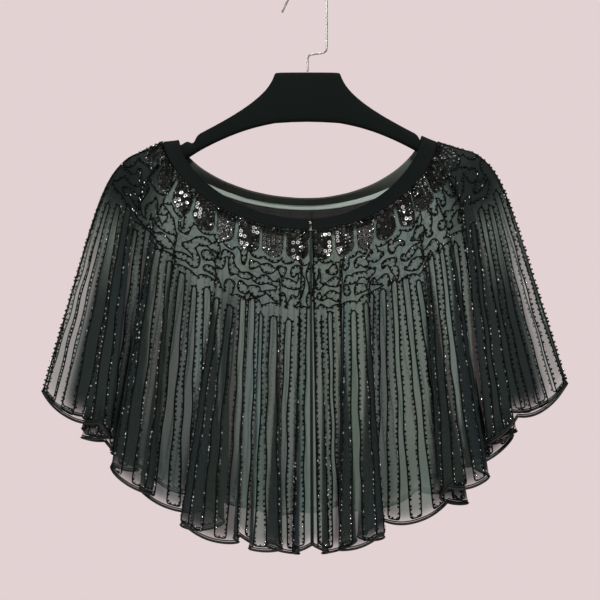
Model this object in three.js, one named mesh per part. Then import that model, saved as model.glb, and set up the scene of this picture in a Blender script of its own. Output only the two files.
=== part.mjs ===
// A short sheer shoulder cape, open down the centre front and closed at the neck by a hook and eye, on a
// broad-shouldered hanger. Millimetres: X runs across the cape, -Y is its front and +Z is up. The origin is
// the inner top of the hanger's hook, where a rod carries it.
import * as THREE from "three";

// ---------------------------------------------------------------------------------------------------------
// Driving sizes
// ---------------------------------------------------------------------------------------------------------

const CLOTH = { wall: 1.0, length: 364, lengthAtSide: 342, flare: 1.3 };
const SEAM_GAP = 0.3;

// The seam between the cape and its neckband: a ring that hangs from the two shoulders. Here and below left
// is the side at -X.
const NECK = { left: 166, right: 149, leftZ: -180.5, rightZ: -181, frontZ: -283, backZ: -250, sag: 1.3 };
const NECK_DEPTH = { front: 36, back: 41 };

// The neckband's upper edge, and the stay tape under the back of the band.
const BAND = { left: 148, right: 131, leftZ: -178.5, rightZ: -173.4, frontZ: -270, backZ: -243.5 };
const BAND_DEPTH = { front: 24, back: 24 };
const BAND_WALL = 1.6;
const TAPE = { below: 1.4, width: 5, wall: 0.8, from: 0.12, to: 0.9 };

const HEM = { left: 308, right: 302, depth: 50, scallopDepth: 12, scallopRound: 2.2 };

// How round the cape is from front to back at the neck, over the hanger's arms and at the hem: the power
// of a cosine, where less is flatter with fuller sides.
const ROUND = { neck: 0.5, arm: 0.2, hem: 0.38, armShare: 0.14 };

// Where the cloth turns down over the arms' ends: how far it is carried out there, and at what share of its
// length.
const SHOULDER = { carryLeft: 35.5, carryRight: 39, share: 0.207 };

// The folds at the hem, from -X to +X. At each the cloth runs right to its right edge, turns back to its left
// edge, and goes on right; depth is how far it then swings forwards or backwards.
const FRONT_FOLDS = [
  { left: -258, right: -224, depth: 22 },
  { left: -222, right: -192, depth: 22 },
  { left: -192, right: -174, depth: 18 },
  { left: -143, right: -94, depth: 28 },
  { left: -84, right: -77, depth: 10 },
  { left: -66, right: -61, depth: 9 },
  { left: -48, right: -28, depth: 13 },
  { left: -17, right: -9, depth: 10 },
  { left: 16, right: 24, depth: 10 },
  { left: 34, right: 56, depth: 18 },
  { left: 56, right: 86, depth: 24 },
  { left: 148, right: 182, depth: 24 },
  { left: 180, right: 204, depth: 18 },
  { left: 203, right: 236, depth: 22 },
];
const BACK_FOLDS = [
  { left: -262, right: -238, depth: 16 },
  { left: -232, right: -206, depth: 20 },
  { left: -196, right: -180, depth: 16 },
  { left: -128, right: -92, depth: 24 },
  { left: -64, right: -52, depth: 12 },
  { left: -14, right: 2, depth: 12 },
  { left: 40, right: 72, depth: 20 },
  { left: 154, right: 186, depth: 20 },
  { left: 196, right: 216, depth: 16 },
  { left: 218, right: 244, depth: 16 },
];

// Scallops along each panel's hem, and the shares of the front's hem and neck at which the opening lies.
const SCALLOPS = { frontRight: 9, frontLeft: 9, back: 16 };
const OPENING = { hem: 0.522, neck: 0.525, gap: 1.4 };
const CENTRE_BACK = { hem: 0.5, neck: 0.5 };

// The mesh: columns in each scallop, and the rows as shares of the cloth's length.
const COLUMNS_PER_SCALLOP = 8;
const ROWS = [0, 0.06, 0.13, 0.22, 0.34, 0.52, 0.76, 1];

const HANGER = {
  topHalf: 36,
  topZ: -99.5,
  notch: 132.6,
  end: 214,
  bodyHalfDepth: 8.5,
  armHalfDepth: 15,
};
const WIRE = { radius: 1.35, crank: 22.1, crankZ: -80, bend: 4.5, sides: 8, steps: 60 };
const CLOSURE = { wire: 0.4, eyeRadius: 1.6, bendRadius: 1.1, length: 6, sides: 6, steps: 20 };

// ---------------------------------------------------------------------------------------------------------
// Small tools
// ---------------------------------------------------------------------------------------------------------

const lerp = THREE.MathUtils.lerp;
const smooth = (t) => THREE.MathUtils.smoothstep(t, 0, 1);
const vec = (x, y, z) => new THREE.Vector3(x, y, z);

// The value at x on the line through (xs, ys), where xs rises.
function interpolate(x, xs, ys) {
  let low = 0;
  let high = xs.length - 1;
  if (x <= xs[low]) return ys[low];
  if (x >= xs[high]) return ys[high];
  while (high - low > 1) {
    const middle = (low + high) >> 1;
    if (xs[middle] <= x) low = middle;
    else high = middle;
  }
  return lerp(ys[low], ys[high], (x - xs[low]) / (xs[high] - xs[low]));
}

// The length along a row of points up to each of them, as a share of the whole.
function lengthShares(points) {
  const along = [0];
  for (let i = 1; i < points.length; i++) along.push(along[i - 1] + points[i].distanceTo(points[i - 1]));
  return along.map((length) => length / along[along.length - 1]);
}

// A closed solid from faces given as lists of corners.
function solid(corners, faces) {
  const position = [];
  for (const face of faces) {
    for (let i = 1; i < face.length - 1; i++) {
      for (const corner of [face[0], face[i], face[i + 1]]) position.push(...corners[corner].toArray());
    }
  }
  const geometry = new THREE.BufferGeometry();
  geometry.setAttribute("position", new THREE.Float32BufferAttribute(position, 3));
  geometry.computeVertexNormals();
  return geometry;
}

// The outward direction at each point of a sheet, whose columns run clockwise seen from above.
function outwards(columns) {
  return columns.map((column, i) => {
    const before = columns[Math.max(i - 1, 0)];
    const after = columns[Math.min(i + 1, columns.length - 1)];
    return column.map((point, j) => {
      const across = after[j].clone().sub(before[j]);
      const down = column[Math.min(j + 1, column.length - 1)].clone().sub(column[Math.max(j - 1, 0)]);
      return down.cross(across).normalize();
    });
  });
}

// A wall half to each side of a sheet of points, closed all round its edge.
function wall(columns, normals, thickness) {
  const rows = columns[0].length;
  const corners = [];
  for (const side of [thickness / 2, -thickness / 2]) {
    columns.forEach((column, i) =>
      column.forEach((point, j) => corners.push(point.clone().addScaledVector(normals[i][j], side))),
    );
  }
  const inner = columns.length * rows;
  const at = (i, j) => i * rows + j;
  const faces = [];
  const last = columns.length - 1;
  for (let i = 0; i < last; i++) {
    for (let j = 0; j < rows - 1; j++) {
      faces.push([at(i, j), at(i, j + 1), at(i + 1, j + 1), at(i + 1, j)]);
      faces.push([inner + at(i, j), inner + at(i + 1, j), inner + at(i + 1, j + 1), inner + at(i, j + 1)]);
    }
    faces.push([at(i, 0), at(i + 1, 0), inner + at(i + 1, 0), inner + at(i, 0)]);
    const foot = rows - 1;
    faces.push([at(i, foot), inner + at(i, foot), inner + at(i + 1, foot), at(i + 1, foot)]);
  }
  for (let j = 0; j < rows - 1; j++) {
    faces.push([at(0, j), inner + at(0, j), inner + at(0, j + 1), at(0, j + 1)]);
    faces.push([at(last, j), at(last, j + 1), inner + at(last, j + 1), inner + at(last, j)]);
  }
  return solid(corners, faces);
}

// Draws a sheet's first and last columns in by a gap, so that it stands clear of the pieces beside it.
function trimmed(columns, gap) {
  const moved = (edge, next) =>
    edge.map((point, j) => {
      const step = next[j].clone().sub(point);
      return point.clone().addScaledVector(step, gap / step.length());
    });
  const end = columns.length - 1;
  return [
    moved(columns[0], columns[1]),
    ...columns.slice(1, end),
    moved(columns[end], columns[end - 1]),
  ];
}

// ---------------------------------------------------------------------------------------------------------
// The cape's surface
// ---------------------------------------------------------------------------------------------------------

// A ring round the neck. The angle runs from -90 degrees at -X, over 0 at the centre, to 90 at +X; front is 1
// for the front and -1 for the back.
function ringPoint(ring, depths, angle, front) {
  const across = Math.sin(angle);
  const towards = Math.max(Math.cos(angle), 0);
  const lowest = front > 0 ? ring.frontZ : ring.backZ;
  const depth = front > 0 ? depths.front : depths.back;
  return vec(
    across * (across < 0 ? ring.left : ring.right),
    -front * depth * towards ** ROUND.neck,
    lerp(across < 0 ? ring.leftZ : ring.rightZ, lowest, towards ** NECK.sag),
  );
}

const neckPoint = (angle, front) => ringPoint(NECK, NECK_DEPTH, angle, front);
const bandPoint = (angle, front) => ringPoint(BAND, BAND_DEPTH, angle, front);

// Angles that part one half of the neck ring into equal lengths, as a function of the share of that length.
function neckAngles(front) {
  const steps = 720;
  const angles = Array.from({ length: steps + 1 }, (_, i) => Math.PI * (i / steps - 0.5));
  const shares = lengthShares(angles.map((angle) => neckPoint(angle, front)));
  return (share) => interpolate(share, shares, angles);
}

// The line of one side's hem seen from below, as x and the swing of the folds. A third of a half turn of each
// swing is spent in the turned part of a fold.
function hemLine(folds) {
  const steps = 24;
  const line = [];
  let x = -HEM.left;
  let depth = 0;
  let side = 1;
  const run = (toX, toDepth, fromPhase, toPhase) => {
    for (let i = 0; i < steps; i++) {
      const ease = (1 - Math.cos((Math.PI * i) / steps)) / 2;
      const phase = lerp(fromPhase, toPhase, i / steps);
      line.push({ x: lerp(x, toX, ease), swing: side * lerp(depth, toDepth, ease) * Math.cos(phase) });
    }
    x = toX;
    depth = toDepth;
  };
  const edge = Math.PI / 3;
  for (const fold of folds) {
    run(fold.right, fold.depth, -edge, edge);
    run(fold.left, fold.depth, edge, 2 * edge);
    side = -side;
  }
  run(HEM.right, 0, -edge, edge);
  line.push({ x: HEM.right, swing: 0 });
  return line;
}

// A line of points down the cloth, at equal lengths, from its neck angle to its place on the hem.
function downCloth(angle, hem, front, steps) {
  const neck = neckPoint(angle, front);
  const towards = Math.max(Math.cos(angle), 0);
  const across = Math.sin(angle);
  const sideways = across ** 4;
  const plainX = across * (across < 0 ? HEM.left : HEM.right);
  const carry = across < 0 ? -SHOULDER.carryLeft : SHOULDER.carryRight;
  const reach = lerp(CLOTH.length, CLOTH.lengthAtSide, sideways);
  const neckDepth = front > 0 ? NECK_DEPTH.front : NECK_DEPTH.back;
  const points = [];
  let z = neck.z;
  for (let i = 0; i <= steps; i++) {
    const share = i / steps;
    const folded = share ** (1 - 0.35 * sideways);
    const safe = THREE.MathUtils.clamp(share, 1e-6, 1 - 1e-6);
    const bend = ((SHOULDER.share / safe) ** 3 + ((1 - SHOULDER.share) / (1 - safe)) ** 3) ** (-1 / 3);
    const toArm = smooth(Math.min(share / ROUND.armShare, 1));
    const toHem = Math.max(share - ROUND.armShare, 0) / (1 - ROUND.armShare);
    const round = lerp(ROUND.neck, ROUND.arm, toArm) + (ROUND.hem - ROUND.arm) * toHem;
    const x = lerp(neck.x, plainX, share) + carry * sideways * bend + (hem.x - plainX) * folded;
    const out = lerp(neckDepth, HEM.depth, share) * towards ** round + hem.swing * folded;
    const point = vec(x, -front * out, z);
    if (i > 0) {
      const step = reach / steps;
      const before = points[i - 1];
      const sideStep = (point.x - before.x) ** 2 + (point.y - before.y) ** 2;
      z -= Math.sqrt(Math.max(step ** 2 - sideStep, (0.3 * step) ** 2));
      point.z = z;
    }
    points.push(point);
  }
  return points;
}

// The share of the neck from which a share of the hem hangs. The cloth flares more towards the sides.
function neckShare(share, centre) {
  const before = share < centre.hem;
  const fromCentre = Math.abs(share - centre.hem) / (before ? centre.hem : 1 - centre.hem);
  const drawn = 1 - (1 - fromCentre) ** CLOTH.flare;
  return centre.neck + drawn * (before ? -centre.neck : 1 - centre.neck);
}

// One side of the cape as a function of the share of its hem, from -X to +X, and of the share down the cloth.
function capeSide(folds, front, centre) {
  const steps = 60;
  const angleAt = neckAngles(front);
  const line = hemLine(folds);
  // The hem's length depends on how the cloth hangs, and that on the hem's length: four rounds settle it.
  let shares = line.map((_, i) => i / (line.length - 1));
  for (let round = 0; round < 4; round++) {
    const angles = shares.map((share) => angleAt(neckShare(share, centre)));
    const hem = line.map((at, i) => downCloth(angles[i], at, front, steps)[steps]);
    shares = lengthShares(hem);
  }
  const xs = line.map((at) => at.x);
  const swings = line.map((at) => at.swing);
  return (share, rows) => {
    const hem = { x: interpolate(share, shares, xs), swing: interpolate(share, shares, swings) };
    const points = downCloth(angleAt(neckShare(share, centre)), hem, front, steps);
    return rows.map((row) => {
      const at = Math.min(Math.floor(row * steps), steps - 1);
      return points[at].clone().lerp(points[at + 1], row * steps - at);
    });
  };
}

const frontSide = capeSide(FRONT_FOLDS, 1, OPENING);
const backSide = capeSide(BACK_FOLDS, -1, CENTRE_BACK);

// How far down the cloth the scalloped edge lies, at a share of one scallop.
function hemShare(along) {
  const notch = Math.abs(2 * along - 1) ** HEM.scallopRound;
  return 1 - (HEM.scallopDepth / CLOTH.length) * notch;
}

// The columns of a panel with so many scallops between two shares of a side's hem.
function panelColumns(side, from, to, scallops) {
  const count = scallops * COLUMNS_PER_SCALLOP;
  return Array.from({ length: count + 1 }, (_, i) => {
    const along = (i % COLUMNS_PER_SCALLOP) / COLUMNS_PER_SCALLOP;
    const rows = ROWS.map((row) => row * hemShare(along));
    return side(lerp(from, to, i / count), rows);
  });
}

// ---------------------------------------------------------------------------------------------------------
// The pieces
// ---------------------------------------------------------------------------------------------------------

const MATERIALS = {
  tulle: new THREE.MeshStandardMaterial({ color: 0x1d2623, roughness: 0.85, metalness: 0 }),
  band: new THREE.MeshStandardMaterial({ color: 0x141a19, roughness: 0.8, metalness: 0 }),
  tape: new THREE.MeshStandardMaterial({ color: 0x8b958f, roughness: 0.85, metalness: 0 }),
  flocked: new THREE.MeshStandardMaterial({ color: 0x101413, roughness: 0.95, metalness: 0 }),
  steel: new THREE.MeshStandardMaterial({ color: 0xd0ccc4, roughness: 0.3, metalness: 1 }),
};

const cape = new THREE.Group();
function add(name, geometry, material) {
  const mesh = new THREE.Mesh(geometry, material);
  mesh.name = name;
  cape.add(mesh);
}

// The cape's panels. The sides' normals come from the whole ring, so that the walls meet squarely.
function addPanels() {
  const right = panelColumns(frontSide, 0, OPENING.hem, SCALLOPS.frontRight);
  const left = panelColumns(frontSide, OPENING.hem, 1, SCALLOPS.frontLeft);
  const back = panelColumns(backSide, 1, 0, SCALLOPS.back);
  const ring = [...right, ...left.slice(1), ...back.slice(1, -1)];
  const around = outwards([ring[ring.length - 1], ...ring, ring[0], ring[1]]);
  const normalAt = (i) => around[(i % ring.length) + 1];
  let start = 0;
  for (const [name, columns] of [
    ["front_right", right],
    ["front_left", left],
    ["back", back],
  ]) {
    const normals = columns.map((_, i) => normalAt(start + i));
    add(name, wall(trimmed(columns, SEAM_GAP / 2 + 0.05), normals, CLOTH.wall), MATERIALS.tulle);
    start += columns.length - 1;
  }
}

// The neckband runs round from one side of the front opening to the other.
function addBand() {
  const frontAt = neckAngles(1);
  const backAt = neckAngles(-1);
  const halfCount = 22;
  const columns = [];
  const column = (angle, front) => {
    const seam = neckPoint(angle, front);
    const top = bandPoint(angle, front);
    const rise = top.clone().sub(seam);
    const foot = seam.clone().addScaledVector(rise, (SEAM_GAP + CLOTH.wall / 2) / rise.length());
    columns.push([top, foot.clone().lerp(top, 0.5), foot]);
  };
  for (let i = 0; i <= halfCount; i++) column(frontAt(lerp(OPENING.neck, 1, i / halfCount)), 1);
  for (let i = 1; i < 2 * halfCount; i++) column(backAt(1 - i / (2 * halfCount)), -1);
  for (let i = 0; i <= halfCount; i++) column(frontAt(lerp(0, OPENING.neck, i / halfCount)), 1);
  add("neck_band", wall(trimmed(columns, OPENING.gap), outwards(columns), BAND_WALL), MATERIALS.band);
}

// The stay tape lies inside the back, just under the band.
function addTape() {
  const inside = CLOTH.wall / 2 + SEAM_GAP + TAPE.wall / 2;
  const count = 48;
  const rows = [TAPE.below, TAPE.below + TAPE.width].map((distance) => distance / CLOTH.length);
  const columns = Array.from({ length: count + 1 }, (_, i) =>
    backSide(lerp(TAPE.to, TAPE.from, i / count), rows),
  );
  const normals = outwards(columns);
  const moved = columns.map((column, i) =>
    column.map((point, j) => point.clone().addScaledVector(normals[i][j], -inside)),
  );
  add("neck_tape", wall(moved, normals, TAPE.wall), MATERIALS.tape);
}

// A round wire of one radius along a curve.
function wire(curve, radius, sides, steps) {
  const section = new THREE.Shape();
  for (let i = 0; i < sides; i++) {
    const angle = (2 * Math.PI * i) / sides;
    section[i ? "lineTo" : "moveTo"](radius * Math.cos(angle), radius * Math.sin(angle));
  }
  section.closePath();
  return new THREE.ExtrudeGeometry(section, { steps, extrudePath: curve, bevelEnabled: false });
}

// A path of straight legs through corners, each corner rounded by a bend.
function bentPath(corners, bend) {
  const path = new THREE.CurvePath();
  let from = corners[0];
  for (let i = 1; i < corners.length - 1; i++) {
    const corner = corners[i];
    const towards = (point) => corner.clone().addScaledVector(point.clone().sub(corner).normalize(), bend);
    const start = towards(corners[i - 1]);
    const end = towards(corners[i + 1]);
    path.add(new THREE.LineCurve3(from, start));
    path.add(new THREE.QuadraticBezierCurve3(start, corner, end));
    from = end;
  }
  path.add(new THREE.LineCurve3(from, corners[corners.length - 1]));
  return path;
}

// The hanger's hook: up out of the hanger, a crank to one side, then the round hook back over the centre.
function addHook() {
  const centreZ = -WIRE.crank + WIRE.radius;
  const footZ = HANGER.topZ + SEAM_GAP;
  const riseZ = WIRE.crankZ + 3;
  const path = bentPath(
    [vec(0, 0, footZ), vec(0, 0, WIRE.crankZ), vec(WIRE.crank, 0, riseZ), vec(WIRE.crank, 0, centreZ)],
    WIRE.bend,
  );
  const openAt = THREE.MathUtils.degToRad(155);
  const arc = [];
  for (let i = 0; i <= 12; i++) {
    const angle = (openAt * i) / 12;
    arc.push(vec(WIRE.crank * Math.cos(angle), 0, centreZ + WIRE.crank * Math.sin(angle)));
  }
  path.add(new THREE.CatmullRomCurve3(arc));
  const tip = arc[arc.length - 1];
  path.add(new THREE.LineCurve3(tip, tip.clone().add(vec(-9.5, 0, -20))));
  add("hanger_hook", wire(path, WIRE.radius, WIRE.sides, WIRE.steps), MATERIALS.steel);
}

// The hanger is drawn through cross sections along X. For a distance from the centre these give its upper
// and lower edge, half its depth, and how square its section is.
const NOTCH_EDGE = [
  { from: -5.5, z: -171.4 },
  { from: -3, z: -179.5 },
  { from: 0, z: -181.5 },
  { from: 3, z: -180 },
  { from: 6, z: -178 },
  { from: 11, z: -182.4 },
];
function hangerTop(x) {
  const shoulder = HANGER.topHalf + 2.5;
  if (x <= HANGER.topHalf) return HANGER.topZ;
  if (x < shoulder) return HANGER.topZ - 2.7 * ((x - HANGER.topHalf) / 2.5) ** 2;
  const notchStart = HANGER.notch + NOTCH_EDGE[0].from;
  if (x < notchStart) {
    return HANGER.topZ - 2.7 - 69.2 * ((x - shoulder) / (notchStart - shoulder)) ** 0.6;
  }
  const notchEnd = NOTCH_EDGE[NOTCH_EDGE.length - 1];
  if (x < HANGER.notch + notchEnd.from) {
    return interpolate(
      x - HANGER.notch,
      NOTCH_EDGE.map((at) => at.from),
      NOTCH_EDGE.map((at) => at.z),
    );
  }
  const along = (x - HANGER.notch - notchEnd.from) / (HANGER.end - HANGER.notch - notchEnd.from);
  return notchEnd.z - 26 * along - 20 * along ** 5;
}
function hangerBottom(x) {
  const arch = -156.7 - 41 * (x / 135) ** 2.2;
  return Math.max(arch, -259 + 0.35 * Math.max(x - 180, 0));
}
function hangerHalfDepth(x) {
  const flare = smooth((x - 165) / 30);
  const end = 1 - 0.62 * smooth((x - 198) / (HANGER.end - 198));
  return lerp(HANGER.bodyHalfDepth, HANGER.armHalfDepth, flare) * end;
}

function addHanger() {
  const half = [
    0, HANGER.topHalf, 37.5, 39.5, 44, 51, 61, 74, 90, 108, 120, 127.1, 129.6, 132.6, 135.6, 138.6, 143.6,
    154, 166, 178, 190, 199, 205, 210, HANGER.end,
  ];
  const stations = [...half.slice(1).reverse().map((x) => -x), ...half];
  const sides = 12;
  const columns = stations.map((x) => {
    const from = Math.abs(x);
    const top = hangerTop(from);
    const bottom = hangerBottom(from);
    const square = lerp(5, 2, smooth((from - 90) / 45));
    const halfHeight = (top - bottom) / 2;
    return Array.from({ length: sides }, (_, i) => {
      const turn = (2 * Math.PI * (i + 0.5)) / sides;
      const part = (value) => Math.sign(value) * Math.abs(value) ** (2 / square);
      return vec(
        x,
        -hangerHalfDepth(from) * part(Math.sin(turn)),
        bottom + halfHeight + halfHeight * part(Math.cos(turn)),
      );
    });
  });
  const corners = columns.flat();
  const at = (i, j) => i * sides + (j % sides);
  const faces = [];
  for (let i = 0; i < columns.length - 1; i++) {
    for (let j = 0; j < sides; j++) faces.push([at(i, j), at(i, j + 1), at(i + 1, j + 1), at(i + 1, j)]);
  }
  const ring = Array.from({ length: sides }, (_, j) => j);
  faces.push(ring.map((j) => at(0, sides - 1 - j)));
  faces.push(ring.map((j) => at(columns.length - 1, j)));
  add("hanger", solid(corners, faces), MATERIALS.flocked);
}

// The hook and eye that close the band. They are laid out flat, across and out from the band's face, then
// set on the opening.
function addClosure() {
  const angle = neckAngles(1)(OPENING.neck);
  const seam = neckPoint(angle, 1);
  const up = bandPoint(angle, 1).sub(seam);
  const across = vec(1, 0, 0);
  const out = across.clone().cross(up).normalize().negate();
  const frame = new THREE.Matrix4().makeBasis(across, out, up.clone().normalize());
  frame.setPosition(seam.addScaledVector(up, 0.78));
  const { wire: radius, eyeRadius, bendRadius, length } = CLOSURE;
  const eyeOut = BAND_WALL / 2 + SEAM_GAP + radius;

  const eyeEnd = -eyeRadius;
  const eye = new THREE.CurvePath();
  eye.add(new THREE.LineCurve3(vec(-length, eyeOut, eyeRadius), vec(eyeEnd, eyeOut, eyeRadius)));
  const loop = [];
  for (let i = 0; i <= 8; i++) {
    const turn = Math.PI * (0.5 - i / 8);
    loop.push(vec(eyeEnd + eyeRadius * Math.cos(turn), eyeOut, eyeRadius * Math.sin(turn)));
  }
  eye.add(new THREE.CatmullRomCurve3(loop));
  eye.add(new THREE.LineCurve3(vec(eyeEnd, eyeOut, -eyeRadius), vec(-length, eyeOut, -eyeRadius)));
  add("closure_eye", wire(eye, radius, CLOSURE.sides, CLOSURE.steps).applyMatrix4(frame), MATERIALS.steel);

  const hook = new THREE.CurvePath();
  hook.add(new THREE.LineCurve3(vec(length, eyeOut + bendRadius, 0), vec(0, eyeOut + bendRadius, 0)));
  const bend = [];
  for (let i = 0; i <= 8; i++) {
    const turn = Math.PI * (0.5 + i / 8);
    bend.push(vec(bendRadius * Math.cos(turn), eyeOut + bendRadius * Math.sin(turn), 0));
  }
  hook.add(new THREE.CatmullRomCurve3(bend));
  hook.add(new THREE.LineCurve3(vec(0, eyeOut - bendRadius, 0), vec(0.8, eyeOut - bendRadius, 0)));
  add("closure_hook", wire(hook, radius, CLOSURE.sides, CLOSURE.steps).applyMatrix4(frame), MATERIALS.steel);
}

addPanels();
addBand();
addTape();
addClosure();
addHanger();
addHook();

export default cape;
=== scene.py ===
"""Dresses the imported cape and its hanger: sheer net panels, bead rows, scribbled bead lines, sequin tongues
round the neck, a corded scalloped edge, the neckband with its stay tape, and the hanger."""

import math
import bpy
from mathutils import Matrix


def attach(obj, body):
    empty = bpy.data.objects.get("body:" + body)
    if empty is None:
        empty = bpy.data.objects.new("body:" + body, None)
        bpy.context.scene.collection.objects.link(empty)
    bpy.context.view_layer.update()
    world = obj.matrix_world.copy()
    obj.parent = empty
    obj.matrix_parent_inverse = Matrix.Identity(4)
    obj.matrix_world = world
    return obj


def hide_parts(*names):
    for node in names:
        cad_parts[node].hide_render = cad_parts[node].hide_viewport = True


bl_info = {
    "name": "Beaded capelet on a hanger",
    "version": (1, 0, 0),
    "blender": (4, 5, 0),
    "location": "View3D > Sidebar > Capelet",
    "description": "Makes a sheer beaded capelet and the hanger that carries it",
    "category": "Add Mesh",
}

from functools import cache

import bpy
import numpy as np
from mathutils import Vector

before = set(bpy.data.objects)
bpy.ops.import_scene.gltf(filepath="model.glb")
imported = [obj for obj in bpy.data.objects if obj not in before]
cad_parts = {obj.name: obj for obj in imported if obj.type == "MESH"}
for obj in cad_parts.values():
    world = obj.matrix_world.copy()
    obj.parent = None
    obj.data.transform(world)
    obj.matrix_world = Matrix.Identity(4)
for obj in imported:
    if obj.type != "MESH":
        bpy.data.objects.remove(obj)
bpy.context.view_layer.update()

MM = 0.001

# ---- Driving sizes as in the part's source, in millimetres or as shares, and how finely they are drawn ----

CLOTH = {"wall": 1.0, "length": 364.0, "side_length": 342.0, "flare": 1.3}
SEAM_GAP = 0.3
NECK = {"left": 166.0, "right": 149.0, "left_z": -180.5, "right_z": -181.0, "front": -283.0, "back": -250.0}
NECK_DEPTH = {"front": 36.0, "back": 41.0}
BAND = {"left": 148.0, "right": 131.0, "left_z": -178.5, "right_z": -173.4, "front": -270.0, "back": -243.5}
BAND_DEPTH = {"front": 24.0, "back": 24.0}
SAG = 1.3
TAPE = {"below": 0.5, "width": 5.6, "wall": 0.8, "start": 0.12, "end": 0.9}
HEM = {"left": 308.0, "right": 302.0, "depth": 50.0, "scallop": 12.0, "scallop_round": 2.2}
ROUND = {"neck": 0.5, "arm": 0.2, "hem": 0.38, "arm_share": 0.14}
SHOULDER = {"carry_left": 35.5, "carry_right": 39.0, "share": 0.207}
FOLD = {"early": 0.35, "least_fall": 0.3}

# The folds at the hem, from -X to +X: left edge, right edge, and how far the cloth swings out or in.
FRONT_FOLDS = [
    (-258, -224, 22),
    (-222, -192, 22),
    (-192, -174, 18),
    (-143, -94, 28),
    (-84, -77, 10),
    (-66, -61, 9),
    (-48, -28, 13),
    (-17, -9, 10),
    (16, 24, 10),
    (34, 56, 18),
    (56, 86, 24),
    (148, 182, 24),
    (180, 204, 18),
    (203, 236, 22),
]
BACK_FOLDS = [
    (-262, -238, 16),
    (-232, -206, 20),
    (-196, -180, 16),
    (-128, -92, 24),
    (-64, -52, 12),
    (-14, 2, 12),
    (40, 72, 20),
    (154, 186, 20),
    (196, 216, 16),
    (218, 244, 16),
]
OPENING = {"hem": 0.522, "neck": 0.525, "gap": 1.4}
CENTRE_BACK = {"hem": 0.5, "neck": 0.5}

# How finely curves are worked out: places along each, and in each scallop.
FINENESS = {"neck": 721, "fold": 24, "panel": 2001, "side": 120, "row": 60, "turn": 9}
PER_SCALLOP = {"edge": 28, "net": 26}

BEAD_SEED = 41
TONGUE_SEED = 51
TRANSPARENT_LAYERS = 64


# ---- Properties: what a user would change ----


def size_property(name, description, default, **limits):
    """A length in metres that a user can change."""
    return bpy.props.FloatProperty(
        name=name, description=description, default=default, unit="LENGTH", **limits
    )


def cover_property(name, description, default):
    """A share of light, from none of it to all."""
    return bpy.props.FloatProperty(name=name, description=description, default=default, min=0, max=1)


def colour_property(name, description, default):
    return bpy.props.FloatVectorProperty(name=name, description=description, default=default, subtype="COLOR")


class CapeletSizes(bpy.types.PropertyGroup):
    """Sizes of the embroidery and trimmings, in metres, and the shares of light that the net stops."""

    bead_size: size_property("Bead size", "Across one bead", 0.0027, min=0.001, max=0.004)
    bead_pitch: size_property("Bead pitch", "From one bead to the next", 0.0057, min=0.002)
    thread_radius: size_property("Thread radius", "Half the chain stitch's thickness", 0.00083)
    edge_radius: size_property("Edge cord radius", "Half the satin edge's thickness", 0.0014)
    sequin_radius: size_property("Sequin radius", "Half across one cupped sequin", 0.0021)
    sheer_body: cover_property("Net cover", "Share of light one layer of net stops", 0.77)
    sheer_margin: cover_property("Margin cover", "The same, in the margin along the hem", 0.22)


class CapeletColours(bpy.types.PropertyGroup):
    """Colours of the cloth, the beads and the hanger."""

    net: colour_property("Net", "Colour of the net", (0.0635, 0.094, 0.088))
    # Painted shade: the net's darker colour where it lies in folds, in the gathers, over the arm and beside
    # deep folds.
    fold_shaded_net: colour_property("Folded net", "Net that lies in folds", (0.0066, 0.0115, 0.0125))
    thread: colour_property("Thread", "Colour of stitches and cord", (0.0022, 0.0036, 0.003))
    band: colour_property("Band", "Colour of the neckband", (0.0012, 0.0025, 0.0023))
    # Partly the inside's own paler cloth and partly painted light, which makes the inside of the back band
    # look lit.
    lining_and_painted_light: colour_property("Lining", "Colour of the band's inside", (0.09, 0.105, 0.09))
    tape: colour_property("Tape", "Colour of the stay tape", (0.24, 0.28, 0.26))
    hanger: colour_property("Hanger", "Colour of the hanger's body", (0.0026, 0.0042, 0.0038))
    backdrop: colour_property("Backdrop", "Colour round the part", (0.767, 0.644, 0.651))


def sizes():
    return bpy.context.scene.capelet_sizes


def colours():
    return bpy.context.scene.capelet_colours


# ---- The cape's surface ----


def smooth(share):
    share = np.clip(share, 0, 1)
    return share * share * (3 - 2 * share)


def rising(value, start, width):
    """From 0 to 1, over a width that begins at a start."""
    return smooth((value - start) / width)


def falling(value, end, width):
    """From 1 to 0, over a width that stops at an end."""
    return smooth((end - value) / width)


def ring_points(ring, depths, angle, front):
    """Points of a ring round the neck. The angle runs from -90 degrees at -X to 90 degrees at +X."""
    across = np.sin(angle)
    towards = np.maximum(np.cos(angle), 0)
    where = "front" if front > 0 else "back"
    x = across * np.where(across < 0, ring["left"], ring["right"])
    y = -front * depths[where] * towards ** ROUND["neck"]
    shoulder = np.where(across < 0, ring["left_z"], ring["right_z"])
    z = shoulder + (ring[where] - shoulder) * towards**SAG
    return np.stack([x, y, z], -1)


def lengths_along(points):
    """The length along a line of points, up to each of them."""
    return np.concatenate([[0], np.cumsum(np.linalg.norm(np.diff(points, axis=0), axis=1))])


def length_shares(points):
    along = lengths_along(points)
    return along / along[-1]


def neck_angles(front):
    """Angles that part half of the neck ring into equal lengths, by the share of its length."""
    angles = np.linspace(-np.pi / 2, np.pi / 2, FINENESS["neck"])
    shares = length_shares(ring_points(NECK, NECK_DEPTH, angles, front))
    return lambda share: np.interp(share, shares, angles)


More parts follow.
